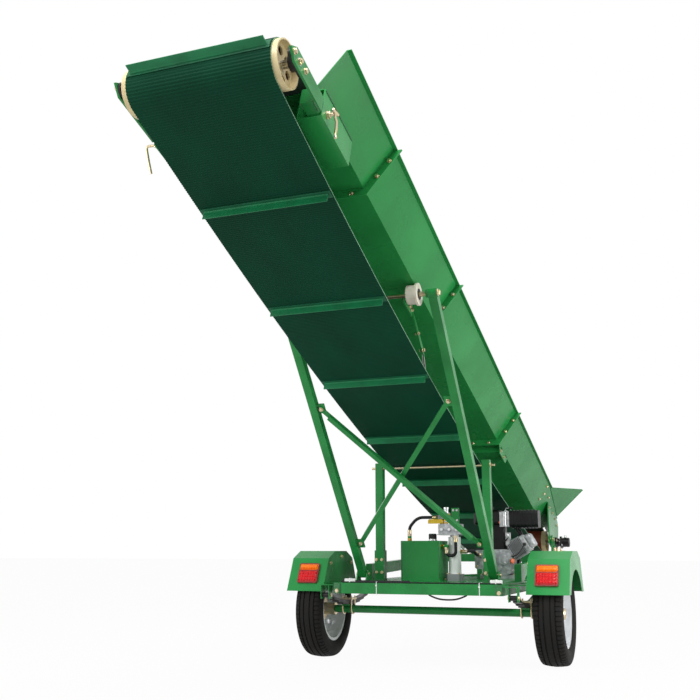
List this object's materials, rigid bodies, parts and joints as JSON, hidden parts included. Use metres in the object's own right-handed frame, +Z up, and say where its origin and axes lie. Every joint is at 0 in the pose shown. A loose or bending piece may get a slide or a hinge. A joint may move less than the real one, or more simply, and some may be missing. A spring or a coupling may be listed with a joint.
{
  "type": "towable firewood conveyor",
  "caption": "Towable belt conveyor for firewood: flared steel trough with a cleated belt on a two-wheel trailer, lifted by hinged roller legs.",
  "frame": {"origin": "on the ground, on the centre line, midway between the belt's head and the coupler's tip", "axes": "+Y forward to the coupler, +X to the right, +Z up"},
  "size_m": [1.784, 6.0868, 2.6763],
  "materials": {
    "green_paint": "gloss enamel",
    "belt_rubber": "ribbed matt",
    "zinc": "yellow zinc plate",
    "black_paint": "satin",
    "tyre_rubber": "matt",
    "wheel_white": "gloss",
    "lamp_red": "clear gloss",
    "nylon": "satin",
    "drum_cream": "satin",
    "cast_grey": "as cast",
    "steel": "ground",
    "hose_rubber": "matt",
    "filter_white": "gloss"
  },
  "bodies": {
    "chassis": {"frame": "green_paint", "deck": "green_paint", "axle": "green_paint", "leaf_springs": "black_paint", "spring_hangers": "green_paint", "spring_fasteners": "zinc", "fender_left": "green_paint", "fender_right": "green_paint", "fender_brackets": "green_paint", "tail_lamps": "lamp_red", "coupler": "zinc", "jack_sleeve": "zinc", "hydraulic_tank": "green_paint", "valve": "cast_grey", "return_filter": "filter_white", "gear_pump": "cast_grey", "engine_crankcase": "cast_grey", "engine_cylinder": "cast_grey", "engine_rocker_cover": "cast_grey", "engine_fuel_tank": "black_paint", "engine_muffler": "black_paint", "engine_fan_housing": "black_paint", "rest_posts": "green_paint", "rest_rod": "zinc", "pivot_brackets": "green_paint", "leg_lugs": "green_paint", "hinge_pins": "zinc", "hose_tank_to_valve": "hose_rubber", "hose_filter_loop": "hose_rubber", "hose_filter_to_pump": "hose_rubber"},
    "wheel_left": {"tyre_left": "tyre_rubber", "rim_left": "wheel_white", "hub_left": "zinc"},
    "wheel_right": {"tyre_right": "tyre_rubber", "rim_right": "wheel_white", "hub_right": "zinc"},
    "boom": {"trough_head": "green_paint", "trough_upper": "green_paint", "trough_middle": "green_paint", "trough_lower": "green_paint", "hopper": "green_paint", "belt": "belt_rubber", "belt_drums": "drum_cream", "drum_shafts": "steel", "drum_bearings": "black_paint", "take_up_tubes": "green_paint", "take_up_housings": "green_paint", "take_up_locks": "zinc", "boom_brackets": "green_paint", "belt_motor": "black_paint", "lift_cylinder": "green_paint"},
    "lift_rod": {"lift_rod": "steel"},
    "lift_legs": {"leg_left": "green_paint", "leg_right": "green_paint", "leg_collars": "green_paint", "leg_brace_rear": "green_paint", "leg_brace_front": "green_paint", "roller_rod": "zinc", "rollers": "nylon"},
    "jack_leg": {"jack_leg": "zinc"}
  },
  "joints": [
    {"name": "wheel_left_spin", "type": "hinge", "parent": "chassis", "child": "wheel_left", "pos_m": [-0.756, 0.08, 0.305], "axis": [1, 0, 0], "continuous": true},
    {"name": "wheel_right_spin", "type": "hinge", "parent": "chassis", "child": "wheel_right", "pos_m": [0.756, 0.08, 0.305], "axis": [1, 0, 0], "continuous": true},
    {"name": "boom_tilt", "type": "hinge", "parent": "chassis", "child": "boom", "pos_m": [0, 2.14108, 0.7686], "axis": [-1, 0, 0], "range_deg": [0, 16]},
    {"name": "leg_swing", "type": "hinge", "parent": "chassis", "child": "lift_legs", "pos_m": [0, -0.077, 0.532], "axis": [-1, 0, 0], "range_deg": [0, 40]},
    {"name": "lift_slide", "type": "slide", "parent": "boom", "child": "lift_rod", "axis": [0, 0.9511, -0.309], "range_m": [0, 0.8]},
    {"name": "jack_slide", "type": "slide", "parent": "chassis", "child": "jack_leg", "axis": [0, 0, 1], "range_m": [0, 0.25]}
  ],
  "couplings": [
    {"joint": "leg_swing", "follows": "boom_tilt", "ratio": 2.26},
    {"joint": "lift_slide", "follows": "boom_tilt", "m_per_rad": 2.784}
  ]
}
